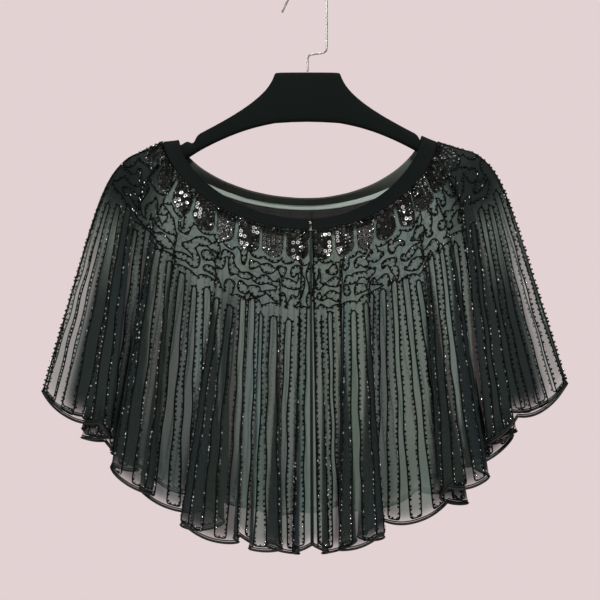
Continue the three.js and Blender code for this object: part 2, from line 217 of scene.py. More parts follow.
def hem_line(folds):
    """The hem seen from below, as x and the swing of the folds."""
    turn = np.arange(FINENESS["fold"]) / FINENESS["fold"]
    ease = (1 - np.cos(np.pi * turn)) / 2
    xs, swings = [], []
    x, depth, side = -HEM["left"], 0.0, 1.0
    for left, right, fold_depth in folds:
        xs.append(x + (right - x) * ease)
        swings.append(side * (depth + (fold_depth - depth) * ease) * np.cos(np.pi / 3 * (2 * turn - 1)))
        xs.append(right + (left - right) * ease)
        swings.append(side * fold_depth * np.cos(np.pi / 3 * (1 + turn)))
        side, x, depth = -side, left, fold_depth
    xs.append(x + (HEM["right"] - x) * ease)
    swings.append(side * depth * (1 - ease) * np.cos(np.pi / 3 * (2 * turn - 1)))
    xs.append([HEM["right"]])
    swings.append([0.0])
    return np.concatenate(xs), np.concatenate(swings)


def neck_share(share, centre):
    """The share of the neck from which a share of the hem hangs."""
    before = share < centre["hem"]
    reach = np.where(before, centre["hem"], 1 - centre["hem"])
    drawn = 1 - (1 - np.abs(share - centre["hem"]) / reach) ** CLOTH["flare"]
    return centre["neck"] + drawn * np.where(before, -centre["neck"], 1 - centre["neck"])


def down_cloth(angle, hem_x, swing, front, steps):
    """Points down the cloth, at equal lengths, from each neck angle to its place on the hem."""
    neck = ring_points(NECK, NECK_DEPTH, angle, front)
    share = np.linspace(0, 1, steps + 1)[None, :]
    towards = np.maximum(np.cos(angle), 0)[:, None]
    across = np.sin(angle)[:, None]
    sideways = across**4
    plain = across * np.where(across < 0, HEM["left"], HEM["right"])
    folded = share ** (1 - FOLD["early"] * sideways)
    safe = np.clip(share, 1e-6, 1 - 1e-6)
    turned, rest = SHOULDER["share"] / safe, (1 - SHOULDER["share"]) / (1 - safe)
    bend = (turned**3 + rest**3) ** (-1 / 3)
    to_arm = smooth(share / ROUND["arm_share"])
    to_hem = np.maximum(share - ROUND["arm_share"], 0) / (1 - ROUND["arm_share"])
    roundness = ROUND["neck"] + (ROUND["arm"] - ROUND["neck"]) * to_arm
    roundness = roundness + (ROUND["hem"] - ROUND["arm"]) * to_hem
    neck_x = neck[:, :1]
    carry = np.where(across < 0, -SHOULDER["carry_left"], SHOULDER["carry_right"])
    x = neck_x + (plain - neck_x) * share + carry * sideways * bend
    x = x + (hem_x[:, None] - plain) * folded
    neck_depth = NECK_DEPTH["front" if front > 0 else "back"]
    out = (neck_depth + (HEM["depth"] - neck_depth) * share) * towards**roundness
    y = -front * (out + swing[:, None] * folded)
    reach = CLOTH["length"] + (CLOTH["side_length"] - CLOTH["length"]) * sideways
    step = reach / steps
    sidestep = np.diff(x, axis=1) ** 2 + np.diff(y, axis=1) ** 2
    fall = np.sqrt(np.maximum(step**2 - sidestep, (FOLD["least_fall"] * step) ** 2))
    z = neck[:, 2:] - np.concatenate([np.zeros_like(neck_x), np.cumsum(fall, axis=1)], axis=1)
    return np.stack([x, y, z], -1)


def unit(vectors):
    return vectors / np.maximum(np.linalg.norm(vectors, axis=-1, keepdims=True), 1e-9)


class CapeSide:
    """The front or the back of the cape, over the share along its hem and the share down the cloth."""

    columns = 1441
    rows = 120

    # Folds are found by counting the layers in strips so many mm wide. Cloth begins to count as folded at a
    # number of layers, and is wholly folded a number of layers on.
    strip = 4.0
    layered = (1.15, 1.2)

    def __init__(self, folds, front, centre):
        self.front = front
        angle_at = neck_angles(front)
        xs, swings = hem_line(folds)
        shares = np.linspace(0, 1, len(xs))
        for _ in range(4):
            angles = angle_at(neck_share(shares, centre))
            shares = length_shares(down_cloth(angles, xs, swings, front, self.rows)[:, -1])
        share = np.linspace(0, 1, self.columns)
        angles = angle_at(neck_share(share, centre))
        hem_x, swing = np.interp(share, shares, xs), np.interp(share, shares, swings)
        self.points = down_cloth(angles, hem_x, swing, front, self.rows)
        across, down = np.gradient(self.points, axis=0), np.gradient(self.points, axis=1)
        normals = unit(front * np.cross(down, across))
        self.grid = np.concatenate([self.points, normals, unit(across), self.folds()[..., None]], axis=-1)

    def folds(self):
        """From 0, one layer, to 1, several layers of the side behind each other, at each of its points."""
        x = self.points[..., 0]
        bins = np.arange(x.min() - self.strip, x.max() + 2 * self.strip, self.strip)
        layers = np.empty_like(x)
        for row in range(x.shape[1]):
            steps = np.abs(np.diff(x[:, row]))
            total = np.histogram((x[1:, row] + x[:-1, row]) / 2, bins, weights=steps)[0] / self.strip
            layers[:, row] = np.interp(x[:, row], (bins[1:] + bins[:-1]) / 2, total)
        return rising(layers, *self.layered)

    def at(self, share, down):
        """Point, outward normal, direction across, and how folded the cloth is, at each place."""
        i = np.clip(share, 0, 1) * (self.columns - 1)
        j = np.clip(down, 0, 1) * self.rows
        i0 = np.minimum(i.astype(int), self.columns - 2)
        j0 = np.minimum(j.astype(int), self.rows - 1)
        a, b = (i - i0)[..., None], (j - j0)[..., None]
        near = self.grid[i0, j0] * (1 - b) + self.grid[i0, j0 + 1] * b
        far = self.grid[i0 + 1, j0] * (1 - b) + self.grid[i0 + 1, j0 + 1] * b
        mixed = near * (1 - a) + far * a
        return mixed[..., :3], unit(mixed[..., 3:6]), unit(mixed[..., 6:9]), mixed[..., 9]


def hem_share(along):
    """How far down the cloth the scalloped edge lies; along counts scallops."""
    notch = np.abs(2 * np.mod(along, 1) - 1) ** HEM["scallop_round"]
    return 1 - HEM["scallop"] / CLOTH["length"] * notch


class Panel:
    """A panel of the cape between two shares of its side's hem, measured across in scallops."""

    # Into how many parts each step of a path is split, to follow the cloth.
    parts = 6

    def __init__(self, name, side, start, end, scallops):
        self.name, self.side, self.start, self.end, self.scallops = name, side, start, end, scallops
        self.spread = np.linspace(0, scallops, FINENESS["panel"])
        self.neck = lengths_along(self.at(self.spread, np.zeros_like(self.spread))[0])

    def below_neck(self, length):
        """The place across, in scallops, under a length in mm along the panel's neck."""
        return np.interp(length, self.neck, self.spread)

    def at(self, along, down):
        share = self.start + (self.end - self.start) * np.asarray(along) / self.scallops
        return self.side.at(share, np.asarray(down))

    def trace(self, path, pitch):
        """Places a pitch apart in mm on a path of (along, down) pairs: points, normals, directions, fold."""
        last = len(path) - 1
        finer = np.linspace(0, last, self.parts * last + 1)
        along = np.interp(finer, np.arange(len(path)), path[:, 0])
        down = np.interp(finer, np.arange(len(path)), path[:, 1])
        length = lengths_along(self.at(along, down)[0])
        places = np.linspace(0, length[-1], max(3, int(round(length[-1] / pitch)) + 1))
        along, down = np.interp(places, length, along), np.interp(places, length, down)
        points, normals, _, fold = self.at(along, down)
        return points, normals, unit(np.gradient(points, axis=0)), fold


FRONT = CapeSide(FRONT_FOLDS, 1, OPENING)
BACK = CapeSide(BACK_FOLDS, -1, CENTRE_BACK)
PANELS = [
    Panel("front_right", FRONT, 0, OPENING["hem"], 9),
    Panel("front_left", FRONT, OPENING["hem"], 1, 9),
    Panel("back", BACK, 0, 1, 16),
]


# ---- Mesh tools ----


def new_mesh_object(name, points, faces, material, uv=None):
    """A smooth mesh object from points in mm and arrays of faces, each array with one number of corners."""
    mesh = bpy.data.meshes.new(name)
    corners = np.concatenate([group.ravel() for group in faces])
    totals = np.concatenate([np.full(len(group), group.shape[1]) for group in faces])
    mesh.vertices.add(len(points))
    mesh.vertices.foreach_set("co", (points * MM).astype(np.float32).ravel())
    mesh.loops.add(len(corners))
    mesh.loops.foreach_set("vertex_index", corners.astype(np.int32))
    mesh.polygons.add(len(totals))
    starts = np.concatenate([[0], np.cumsum(totals)[:-1]])
    mesh.polygons.foreach_set("loop_start", starts.astype(np.int32))
    mesh.polygons.foreach_set("use_smooth", np.full(len(totals), True))
    if uv is not None:
        layer = mesh.uv_layers.new(name="cloth")
        layer.data.foreach_set("uv", (uv[corners]).astype(np.float32).ravel())
    mesh.update(calc_edges=True)
    mesh.validate()
    obj = bpy.data.objects.new(name, mesh)
    bpy.context.scene.collection.objects.link(obj)
    mesh.materials.append(material)
    return obj


def point_attribute(obj, name, values):
    attribute = obj.data.attributes.new(name, "FLOAT", "POINT")
    attribute.data.foreach_set("value", np.asarray(values, np.float32))


def grid_faces(columns, rows, outward=True):
    i, j = np.meshgrid(np.arange(columns - 1), np.arange(rows - 1), indexing="ij")
    start = (i * rows + j).ravel()
    corners = [start, start + 1, start + rows + 1, start + rows]
    return np.stack(corners if outward else corners[::-1], -1)


def sleeve_faces(count, sides):
    """Faces of a closed section that runs through a number of places, and of its two ends."""
    i, j = np.meshgrid(np.arange(count - 1), np.arange(sides), indexing="ij")
    turned = (j + 1) % sides
    corners = [i * sides + j, (i + 1) * sides + j, (i + 1) * sides + turned, i * sides + turned]
    ends = np.array([np.arange(sides), (count - 1) * sides + np.arange(sides)[::-1]])
    return np.stack([corner.ravel() for corner in corners], -1), ends


class Pile:
    """Points and faces of many like shapes, gathered for one mesh."""

    tube_sides = 4

    def __init__(self):
        self.points, self.faces, self.values, self.count = [], [], [], 0

    def add(self, points, faces):
        self.points.append(points)
        self.faces.append(faces + self.count)
        self.count += len(points)

    def add_tube(self, points, normals, directions, radius):
        """A tube along a line of points, whose first corner points along the normals."""
        beside = unit(np.cross(directions, normals))
        turns = (2 * np.pi * np.arange(self.tube_sides) / self.tube_sides)[None, :, None]
        ring = np.cos(turns) * normals[:, None] + np.sin(turns) * beside[:, None]
        faces = sleeve_faces(len(points), self.tube_sides)
        self.add((points[:, None] + radius * ring).reshape(-1, 3), np.concatenate(faces))

    def add_copies(self, shape, places, first, second, third, size, values):
        """Copies of a shape at places, its X, Y and Z axes along three directions, and a value each."""
        points, faces = shape
        size = np.broadcast_to(np.asarray(size, float), (len(places),))[:, None, None]
        axes = np.stack([first, second, third], 1)
        moved = places[:, None] + size * np.einsum("pk,nkc->npc", points, axes)
        shifts = (np.arange(len(places)) * len(points))[:, None, None]
        self.add(moved.reshape(-1, 3), (faces[None] + shifts).reshape(-1, faces.shape[1]))
        self.values.append(np.repeat(values, len(points)))

    def make(self, name, material):
        obj = new_mesh_object(name, np.concatenate(self.points), self.faces, material)
        if self.values:
            point_attribute(obj, "tone", np.concatenate(self.values))
        return obj


def deselect_all():
    """Leaves nothing selected, so that the next operator acts only on what is added or picked after this."""
    bpy.ops.object.select_all(action="DESELECT")


def edit_whole(obj):
    """Opens an object in edit mode with all of its mesh selected."""
    obj.select_set(True)
    bpy.context.view_layer.objects.active = obj
    bpy.ops.object.mode_set(mode="EDIT")
    bpy.ops.mesh.select_all(action="SELECT")


def taken_shape(obj):
    """The points and triangles of a modelled shape, as arrays; the shape itself is removed."""
    bpy.ops.object.mode_set(mode="OBJECT")
    mesh = obj.data
    mesh.calc_loop_triangles()
    points = np.array([vertex.co[:] for vertex in mesh.vertices])
    faces = np.array([triangle.vertices[:] for triangle in mesh.loop_triangles])
    bpy.data.objects.remove(obj)
    return points, faces


def bead_shape():
    """A small cut bead of unit radius, a little longer than wide along X."""
    deselect_all()
    bpy.ops.mesh.primitive_ico_sphere_add(subdivisions=1, radius=1)
    edit_whole(bpy.context.object)
    bpy.ops.transform.resize(value=(1.12, 1.0, 1.0))
    return taken_shape(bpy.context.object)


def sequin_shape():
    """A cupped sequin of unit radius with a hole in its middle; its hollow side faces +Z."""
    deselect_all()
    bpy.ops.mesh.primitive_circle_add(vertices=8, radius=1, fill_type="NGON")
    edit_whole(bpy.context.object)
    bpy.ops.mesh.inset(thickness=0.5)
    bpy.ops.transform.translate(value=(0, 0, -0.16))
    bpy.ops.mesh.delete(type="ONLY_FACE")
    return taken_shape(bpy.context.object)


# Tones of beads given a painted glint, a bright mirror colour, and of the dark ones.
PAINTED_GLINT = (0.12, 0.6)
DULL = (0, 0.03)


def painted_glint_tones(rng, chances):
    """Tones of beads, each with its own chance of a painted glint, a bright mirror colour; the others are
    dark.
    """
    count = len(chances)
    return np.where(rng.random(count) < chances, rng.uniform(*PAINTED_GLINT, count), rng.uniform(*DULL, count))


# ---- Materials: a finish that several pieces share is made once ----


class Finish:
    """A material under construction: one Principled shader and the nodes that feed it."""

    def __init__(self, name, uv_map=None, **values):
        self.material = bpy.data.materials.new(name)
        self.material.use_nodes = True
        self.tree = self.material.node_tree
        self.shader = self.tree.nodes["Principled BSDF"]
        for socket, value in values.items():
            self.shader.inputs[socket.replace("_", " ")].default_value = value
        source = self.node("UVMap", uv_map=uv_map) if uv_map else self.node("TexCoord")
        self.where = source.outputs["UV" if uv_map else "Object"]

    def node(self, kind, values=(), **settings):
        node = self.tree.nodes.new("ShaderNode" + kind)
        for key, value in settings.items():
            setattr(node, key, value)
        for socket, value in dict(values).items():
            if isinstance(value, bpy.types.NodeSocket):
                self.tree.links.new(value, node.inputs[socket])
            else:
                node.inputs[socket].default_value = value
        return node

    def feed(self, socket, output):
        self.tree.links.new(output, self.shader.inputs[socket])

    def mapped(self, **values):
        """The pattern's place, turned or scaled."""
        return self.node("Mapping", {"Vector": self.where, **values}).outputs["Vector"]

    def attribute(self, name):
        return self.node("Attribute", attribute_name=name).outputs["Fac"]

    def noise(self, scale, detail=3.0, where=None):
        values = {"Vector": where or self.where, "Scale": scale, "Detail": detail}
        return self.node("TexNoise", values).outputs["Fac"]

    def wave(self, scale, distortion, where=None):
        values = {"Vector": where or self.where, "Scale": scale, "Distortion": distortion}
        return self.node("TexWave", values).outputs["Fac"]

    def math(self, operation, *values):
        return self.node("Math", dict(enumerate(values)), operation=operation).outputs[0]

    def spread(self, value, low, high):
        """A value between 0 and 1 moved to run from low to high."""
        ends = {"Value": value, "To Min": low, "To Max": high}
        return self.node("MapRange", ends).outputs["Result"]

    def mix(self, share, first, second, blend_type="MIX"):
        """Two colours mixed, each a node's output or four numbers."""
        values = {"Factor": share, "A": first, "B": second}
        return self.node("Mix", values, data_type="RGBA", blend_type=blend_type).outputs["Result"]

    def blend(self, share, dark, light):
        return self.mix(share, (*dark, 1), (*light, 1))

    def vary(self, share, colour, low, high):
        """A colour that runs between two factors of itself."""
        return self.blend(share, scaled(colour, low), scaled(colour, high))

    def bump(self, height, strength, distance=0.0002):
        values = {"Height": height, "Strength": strength, "Distance": distance}
        self.feed("Normal", self.node("Bump", values).outputs["Normal"])


def scaled(colour, factor):
    return tuple(min(1.0, channel * factor) for channel in colour)


@cache
def net_finish():
    """Fine net: the threads of its holes, and the light that one layer stops, less along the hem. Its colour
    is darkened by painted shade in folds and shaded places, and is near black on the dark ground and in the
    deepest painted shade.
    """
    finish = Finish("fine_net", uv_map="cloth", Roughness=0.82, Specular_IOR_Level=0.15)
    slants = [finish.mapped(Rotation=(0, 0, math.radians(angle))) for angle in (60, -60)]
    net = finish.math("MAXIMUM", *(finish.wave(210.0, 0.0, slant) for slant in slants))
    clouded = finish.math("MULTIPLY", net, finish.spread(finish.noise(28.0), 0.7, 1.2))
    streaks = finish.noise(1.0, 1.0, finish.mapped(Scale=(20.0, 3.0, 1.0)))
    shade = finish.spread(streaks, -0.8, 1.8)
    tints = []
    for colour, to_olive in ((colours().net, (1.12, 0.98, 0.86)), (colours().fold_shaded_net, (1.4, 1.15, 0.9))):
        olive = tuple(channel * factor for channel, factor in zip(colour, to_olive))
        tints.append(finish.blend(shade, colour, olive))
    # Painted shade: the darker folded colour where the net lies in folds and wherever shade is painted.
    tint = finish.mix(finish.attribute("folded"), *tints)
    # Near black on the dark ground under the tongues and along the band, and in the deepest painted shade.
    tint = finish.mix(finish.attribute("ground"), tint, (*scaled(colours().thread, 1.5), 1))
    depth = finish.blend(clouded, (0.75,) * 3, (1.3,) * 3)
    finish.feed("Base Color", finish.mix(1.0, tint, depth, "MULTIPLY"))
    finish.feed("Alpha", finish.attribute("cover"))
    finish.bump(net, 0.25)
    return finish.material


@cache
def thread_finish():
    finish = Finish("chain_stitch", Roughness=0.7, Specular_IOR_Level=0.06)
    strands = finish.noise(900.0, 2.0)
    finish.feed("Base Color", finish.vary(strands, colours().thread, 0.6, 1.7))
    finish.bump(strands, 0.3)
    return finish.material


@cache
def satin_finish():
    finish = Finish("satin_edge", Roughness=0.45, Specular_IOR_Level=0.25)
    strands = finish.wave(420.0, 2.0)
    finish.feed("Base Color", finish.vary(strands, colours().thread, 0.7, 2.1))
    finish.bump(strands, 0.35)
    return finish.material


@cache
def bead_finish():
    """Cut glass beads. Their tone attribute runs from 0, black, to 1, a bright mirror colour that paints a
    glint on the bead.
    """
    finish = Finish("cut_beads", Metallic=1.0)
    tone = finish.attribute("tone")
    finish.feed("Base Color", finish.blend(tone, (0.004, 0.0065, 0.006), (0.88, 0.93, 0.9)))
    finish.feed("Roughness", finish.spread(finish.noise(700.0, 1.0), 0.1, 0.26))
    return finish.material


@cache
def sequin_finish():
    """Dark and silvery cupped sequins. Their tone attribute runs from 0, near black, to 1, silver."""
    finish = Finish("cupped_sequins", Metallic=0.5, Specular_IOR_Level=0.12)
    tone = finish.attribute("tone")
    finish.feed("Base Color", finish.blend(tone, (0.004, 0.0038, 0.003), (0.9, 0.91, 0.87)))
    film = finish.noise(450.0, 2.0)
    finish.feed("Roughness", finish.spread(film, 0.08, 0.22))
    finish.bump(film, 0.12)
    return finish.material


def band_finish(name, colour, roughness):
    """A closely woven strip: fine weave, a little uneven colour, and a paler inside face, partly its own
    lining and partly painted light.
    """
    finish = Finish(name, Roughness=roughness, Specular_IOR_Level=0.07)
    weave = finish.math("MULTIPLY", finish.wave(520.0, 3.0), finish.spread(finish.noise(55.0), 0.6, 1.4))
    face, lining_and_painted_light = finish.vary(weave, colour, 0.7, 1.4), finish.vary(weave, colours().lining_and_painted_light, 0.8, 1.2)
    finish.feed("Base Color", finish.mix(finish.attribute("inside_face"), face, lining_and_painted_light))
    finish.bump(weave, 0.3, 0.0003)
    return finish.material


def flock_finish():
    finish = Finish("flocked_body", Roughness=0.86, Specular_IOR_Level=0.06)
    pile = finish.noise(1500.0, 2.0)
    worn = finish.math("MULTIPLY", pile, finish.spread(finish.noise(14.0), 0.7, 1.3))
    finish.feed("Base Color", finish.vary(worn, colours().hanger, 0.7, 1.8))
    finish.bump(pile, 0.25, 0.0003)
    return finish.material


def wire_finish():
    finish = Finish("plated_wire", Metallic=0.8)
    wear = finish.noise(160.0)
    finish.feed("Base Color", finish.blend(wear, (0.3, 0.29, 0.25), (0.52, 0.51, 0.45)))
    finish.feed("Roughness", finish.spread(wear, 0.16, 0.34))
    return finish.material


def floor_finish():
    finish = Finish("pale_floor", Roughness=0.9)
    finish.feed("Base Color", finish.vary(finish.noise(3.0), colours().backdrop, 0.97, 1.0))
    return finish.material


# ---- Paths of the embroidery, as (along, down) pairs on a panel ----

ROWS_PER_SCALLOP = 6

# Shares of the way down: how far inside the edge a turn of the rows lies, how much higher the turn begins,
# and where the lines at the edges start, the rows start, and the yoke's scribble lies.
INNER_EDGE = 5.0 / CLOTH["length"]
ABOVE_EDGE = 4.0 / CLOTH["length"]
EMBROIDERY_TOP = 0.004
HAIRPIN_TOP = (0.225, 0.305)
YOKE = (0.09, 0.25)

# How far the bead rows stray: towards their pair and in their place, as shares of the step between rows,
# and over their length and in waves, in scallops. The waves' turn over the row and their start are in radians.
STRAY = {"pair": 0.04, "place": 0.12, "drift": 0.05, "waver": 0.012, "turn": (4, 9), "start": (0, 6)}

# The turns of the bead rows: how square they are at the foot, and how far they rise at the top, as a share.
TURNS = {"square": 2.2, "rise": 0.016}

# The scribble: cells of its grid in a scallop's width and down the yoke, how far its corners are shaken and
# curled in half cells, the curl's turn from point to point, and how far in scallops it keeps from the edges.
SCRIBBLE = {"cells": 2.7, "high": 4, "shaken": 0.3, "curled": 0.32, "turn": (0.25, 0.6), "inset": 0.05}


def row_places(panel, rng):
    """The places of the bead rows across a panel: in pairs, each row a little off its even place."""
    number = np.arange(panel.scallops * ROWS_PER_SCALLOP)
    closer = np.where(number % 2, STRAY["pair"], -STRAY["pair"])
    closer[[0, -1]] = 0
    stray = rng.uniform(-STRAY["place"], STRAY["place"], len(number))
    return (number + 0.5 + closer + stray) / ROWS_PER_SCALLOP


def serpentine(panel, rng):
    """One long line of bead rows: rows joined at the foot in pairs, and at the top to the next pair."""
    rows = row_places(panel, rng)
    feet = hem_share(rows) - INNER_EDGE - ABOVE_EDGE
    tops = rng.uniform(*HAIRPIN_TOP, len(rows))
    tops[2::2] = tops[1:-1:2]
    way = np.linspace(0, np.pi, FINENESS["row"])
    turns = np.linspace(0, 1, FINENESS["turn"])
    path = []
    for i, along in enumerate(rows):
        waver = STRAY["waver"] * np.sin(way * rng.uniform(*STRAY["turn"]) + rng.uniform(*STRAY["start"]))
        drift = (STRAY["drift"] * rng.uniform(-1, 1) + waver) * np.sin(way)
        line = np.stack([along + drift, np.linspace(tops[i], feet[i], FINENESS["row"])], -1)
        going_down = i % 2 == 0
        path.append(line if going_down else line[::-1])
        if i == len(rows) - 1:
            break
        across = along + (rows[i + 1] - along) * (1 - np.cos(np.pi * turns)) / 2
        if going_down:
            straight = feet[i] + (feet[i + 1] - feet[i]) * turns
            depth = np.minimum(1, TURNS["square"] * np.sin(np.pi * turns))
            turn = straight + (hem_share(across) - INNER_EDGE - straight) * depth
        else:
            turn = tops[i] - TURNS["rise"] * np.sin(np.pi * turns)
        path.append(np.stack([across, turn], -1))
    return np.concatenate(path)


def random_tree(wide, high, rng):
    """A random tree over the cells of a grid: the steps from each cell to the cells that it is joined to."""
    joined = {(0, 0): set()}
    stack = [(0, 0)]
    while stack:
        picked = rng.integers(len(stack))
        cell = stack[picked]
        sides = [(1, 0), (-1, 0), (0, 1), (0, -1)]
        rng.shuffle(sides)
        for step in sides:
            other = (cell[0] + step[0], cell[1] + step[1])
            if 0 <= other[0] < wide and 0 <= other[1] < high and other not in joined:
                joined[other] = {(-step[0], -step[1])}
                joined[cell].add(tuple(step))
                stack.append(other)
                break
        else:
            stack.pop(picked)
    return joined


def scribble(panel, rng):
    """A closed meander that fills the yoke: the outline of a random tree on a coarse grid."""
    wide, high = round(SCRIBBLE["cells"] * panel.scallops), SCRIBBLE["high"]
    joined = random_tree(wide, high, rng)
    right, down, left, up = (1, 0), (0, 1), (-1, 0), (0, -1)
    ways = {(0, 0): (up, right), (1, 0): (right, down), (1, 1): (down, left), (0, 1): (left, up)}
    at, cells = (0, 0), []
    for _ in range(4 * wide * high):
        cells.append(at)
        branch, onwards = ways[(at[0] % 2, at[1] % 2)]
        step = branch if branch in joined[(at[0] // 2, at[1] // 2)] else onwards
        at = (at[0] + step[0], at[1] + step[1])
    loop = np.array(cells, float) + rng.uniform(-SCRIBBLE["shaken"], SCRIBBLE["shaken"], (len(cells), 2))
    loop = rounded(rounded(loop))
    curl = np.cumsum(rng.uniform(*SCRIBBLE["turn"], len(loop)))
    loop = loop + SCRIBBLE["curled"] * np.stack([np.sin(curl), np.cos(curl)], -1)
    loop = rounded(rounded(loop))
    along = panel.below_neck((loop[:, 0] + 0.5) / (2 * wide) * panel.neck[-1])
    along = np.clip(along, SCRIBBLE["inset"], panel.scallops - SCRIBBLE["inset"])
    down = YOKE[0] + (loop[:, 1] + 0.5) / (2 * high) * (YOKE[1] - YOKE[0])
    path = np.stack([along, down], -1)
    return np.concatenate([path, path[:1]])


def rounded(loop):
    """A closed line with each corner cut off."""
    after = np.roll(loop, -1, axis=0)
    return np.stack([0.75 * loop + 0.25 * after, 0.25 * loop + 0.75 * after], 1).reshape(-1, 2)


# The tongues of each panel from -X to +X: D dark, G grey, or the name of the spots that shine.
TONGUES = {"front_right": "DDMLGBGM", "front_left": "RLGDMDDD", "back": "DDGDRDGDLDDGDMD"}
TONGUE_LENGTH = 34.0
TONGUE_GAP = {1: 4.4, -1: -1.2}

# The dark ground under the tongues and along the band, in mm: where it ends, and over how much it fades.
TONGUE_GROUND = (0.8, 2.0)
BAND_GROUND = (10.0, 4.0)


def tongue_width(panel):
    """From one tongue to the next along the neck, and half of a tongue's width, in mm."""
    step = panel.neck[-1] / len(TONGUES[panel.name])
    return step, (step - TONGUE_GAP[panel.side.front]) / 2


def tongue_ground(panel, along, down):
    """How far each place lies on the dark ground under the tongues, from 0 to 1."""
    step, half = tongue_width(panel)
    across = np.mod(np.interp(along, panel.spread, panel.neck), step)[:, None] - step / 2
    below = down * CLOTH["length"]
    beyond, fade = TONGUE_GROUND
    from_middle = np.hypot(across, np.maximum(below - (TONGUE_LENGTH - half), 0))
    return np.maximum(falling(from_middle, half + beyond, fade), falling(below, *BAND_GROUND))


def edge_path(panel, inset=0.0):
    """The scalloped edge, or a line that runs inside it by a number of mm."""
    along = np.linspace(0, panel.scallops, panel.scallops * PER_SCALLOP["edge"] + 1)
    return np.stack([along, hem_share(along) - inset / CLOTH["length"]], -1)


def side_path(along):
    down = np.linspace(EMBROIDERY_TOP, hem_share(along), FINENESS["side"])
    return np.stack([np.full_like(down, along), down], -1)


# ---- Operators: one for each piece or group of like pieces ----

# How far inside its panel a front's edge lies at the opening, in scallops.
OPENING_EDGE = 0.012


def put(obj):
    """Puts a finished piece on the one body."""
    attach(obj, "root")


